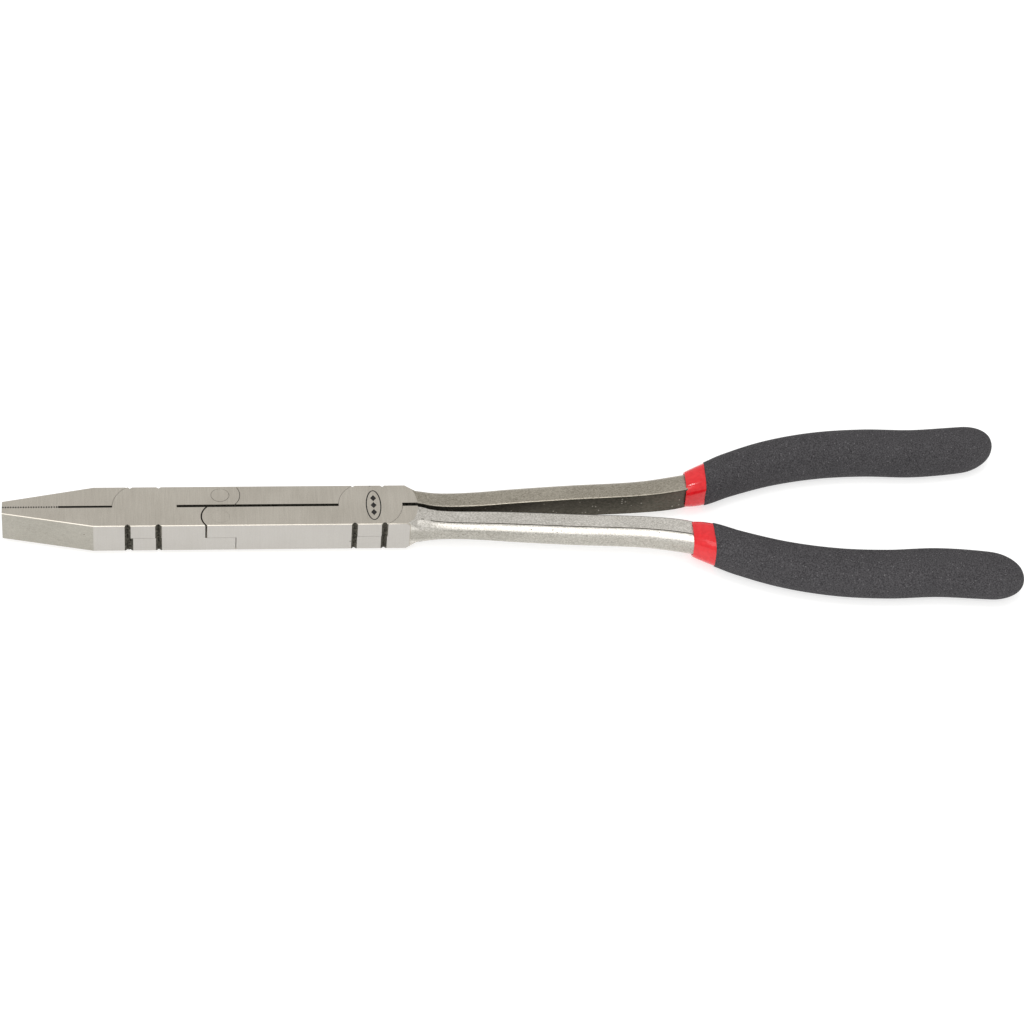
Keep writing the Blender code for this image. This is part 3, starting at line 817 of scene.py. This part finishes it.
red_vinyl, red_shader, place = new_material(
    "red_vinyl", Roughness=0.22, Specular_IOR_Level=0.25, Coat_Roughness=0.05
)
ripple = noise(place, 160.0, 2.0, (0.4, 1.0, 1.0))
haze = noise(place, 700.0, 3.0)
feed(
    red_shader,
    Base_Color=haze.ramp(0.3, 0.7).blend((0.66, 0.008, 0.014, 1.0), (0.75, 0.016, 0.022, 1.0)),
    Coat_Weight=ripple * 0.3 + 0.45,
    Normal=bump(ripple, 0.10 * MM, 0.5),
)


def tube(name, stations, inner_corner, outer_corner, segments, material):
    """An open tube through the stations: a rounded outline drawn out along the handle."""
    x, _, width, thickness = stations[0]
    piece = rounded_plate(name, x, width, thickness, inner_corner, outer_corner, segments, material)
    choose(piece)
    bpy.ops.object.mode_set(mode="EDIT")
    bpy.ops.mesh.select_all(action="SELECT")
    bpy.ops.mesh.delete(type="ONLY_FACE")
    bpy.ops.object.mode_set(mode="OBJECT")
    draw_out(piece, stations)
    return piece


stations = [
    (x, along_tool(arm_centre, x), along_tool(sleeve_width, x) * slant(x), along_tool(sleeve_thickness, x))
    for x in spread(sleeve_start_x, collar_end_x, 16) + spread(collar_end_x + 1.0 * MM, sleeve_high.x, 50)
]
sleeve = tube("upper_red_sleeve", stations, sleeve_corner * 0.9, sleeve_corner, 10, red_vinyl)
apply_modifier(sleeve, "SOLIDIFY", thickness=sleeve_wall, offset=-1.0)
lip = {"width": 0.25 * MM, "segments": 4, "limit_method": "ANGLE", "angle_limit": math.radians(50)}
apply_modifier(sleeve, "BEVEL", **lip)
choose(sleeve)
bpy.ops.object.shade_smooth_by_angle(angle=math.radians(40))
lower_sleeve = twin(sleeve, "lower_red_sleeve")
fit(sleeve, "upper_sleeve", "upper_handle")
fit(lower_sleeve, "lower_sleeve", "lower_handle")


# ---------------------------------------------------------------------------------------------------------
# Grips. The second dip: charcoal foamed vinyl, a matte skin of fine closed cells with lighter specks,
# swelling to the hand and closing in a round nose that leans outwards.
grip_low, grip_high = (Vector(corner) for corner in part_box("upper_grip"))
grip_start_x, grip_end_x = grip_low.x, grip_high.x
grip_width = ((66, 12.9), (80, 14.0), (95, 14.7), (115, 15.2), (145, 15.4), (156, 15.0), (170, 13.4))
grip_thickness = ((66, 13.1), (80, 14.0), (95, 14.7), (115, 15.1), (145, 15.2), (156, 15.1), (170, 14.4))
grip_inner_corner = 5.4 * MM
grip_outer_corner = 5.9 * MM
grip_nose = 11.0 * MM
nose_fullness = 0.86
grip_wall = 1.5 * MM
nose_steps = 14

foam, foam_shader, place = new_material("charcoal_foam", Specular_IOR_Level=0.15)
cells = noise(place, 2300.0, 3.0, (1.0, 1.0, 1.0), 0.6)
fine = noise(place, 6000.0, 2.0)
shade = noise(place, 90.0, 3.0)
specks = pits(place, 1300.0, 0.16, 0.32)
tone = cells.ramp(0.3, 0.7) * 0.6 + fine.ramp(0.3, 0.7) * 0.25 + shade * 0.15
feed(
    foam_shader,
    Base_Color=specks.blend(
        tone.blend((0.012, 0.011, 0.013, 1.0), (0.106, 0.102, 0.107, 1.0)), (0.15, 0.145, 0.15, 1.0)
    ),
    Roughness=fine * 0.15 + 0.72,
    Normal=bump(cells + fine * 0.4, 0.16 * MM, 0.8),
)

stations = []
for x in spread(grip_start_x, grip_end_x - grip_nose, 70):
    stations.append((x, 1.0))
for step in range(1, nose_steps + 1):
    turn = math.pi / 2 * step / (nose_steps + 0.3)
    stations.append((grip_end_x - grip_nose * (1 - math.sin(turn)), math.cos(turn) ** nose_fullness))
stations = [
    (
        x,
        along_tool(arm_centre, x),
        along_tool(grip_width, x) * slant(x) * share,
        along_tool(grip_thickness, x) * share,
    )
    for x, share in stations
]
grip = tube("upper_foam_grip", stations, grip_inner_corner, grip_outer_corner, 10, foam)
choose(grip)
bpy.ops.object.mode_set(mode="EDIT")
bpy.ops.mesh.select_all(action="DESELECT")
bpy.ops.object.mode_set(mode="OBJECT")
last_x = max(vertex.co.x for vertex in grip.data.vertices)
for edge in grip.data.edges:
    edge.select = all(grip.data.vertices[i].co.x > last_x - 1e-6 for i in edge.vertices)
bpy.ops.object.mode_set(mode="EDIT")
bpy.ops.mesh.edge_face_add()
bpy.ops.mesh.select_all(action="SELECT")
bpy.ops.mesh.normals_make_consistent(inside=False)
bpy.ops.object.mode_set(mode="OBJECT")
apply_modifier(grip, "SOLIDIFY", thickness=grip_wall, offset=-1.0)
apply_modifier(grip, "BEVEL", width=0.5 * MM, segments=4, limit_method="ANGLE", angle_limit=math.radians(60))
choose(grip)
bpy.ops.object.shade_smooth_by_angle(angle=math.radians(50))
lower_grip = twin(grip, "lower_foam_grip")
fit(grip, "upper_grip", "upper_handle")
fit(lower_grip, "lower_grip", "lower_handle")


# ---------------------------------------------------------------------------------------------------------
# Studio. A pale floor under the tool, a white surround, and soft boxes over and behind the camera.
bpy.ops.object.select_all(action="DESELECT")
bpy.ops.mesh.primitive_plane_add(size=6.0, location=(0.0, 0.0, 0.0))
floor = settle("floor")
paper, paper_shader, place = new_material("pale_floor", Roughness=0.9, Emission_Strength=0.64)
paper_shader.inputs["Base Color"].default_value = (0.5, 0.5, 0.498, 1.0)
paper_shader.inputs["Emission Color"].default_value = (1.0, 1.0, 1.0, 1.0)
floor.data.materials.append(paper)

bpy.context.scene.view_settings.view_transform = "Standard"
world = bpy.data.worlds.new("studio")
bpy.context.scene.world = world
world.use_nodes = True
world.node_tree.nodes["Background"].inputs["Color"].default_value = (1.0, 0.995, 0.985, 1.0)
world.node_tree.nodes["Background"].inputs["Strength"].default_value = 0.75


def soft_box(name, location, size, power):
    """A square area light aimed at the middle of the tool."""
    bpy.ops.object.select_all(action="DESELECT")
    bpy.ops.object.light_add(type="AREA", location=location)
    lamp = bpy.context.object
    lamp.name = name
    lamp.data.size = size
    lamp.data.energy = power
    lamp.rotation_euler = (-Vector(location)).to_track_quat("-Z", "Y").to_euler()


soft_box("key", toward * 1.4 + Vector((-0.2, 0.0, 0.25)), 1.2, 9.0)
soft_box("top", Vector((0.1, -0.1, 1.4)), 0.3, 3.0)
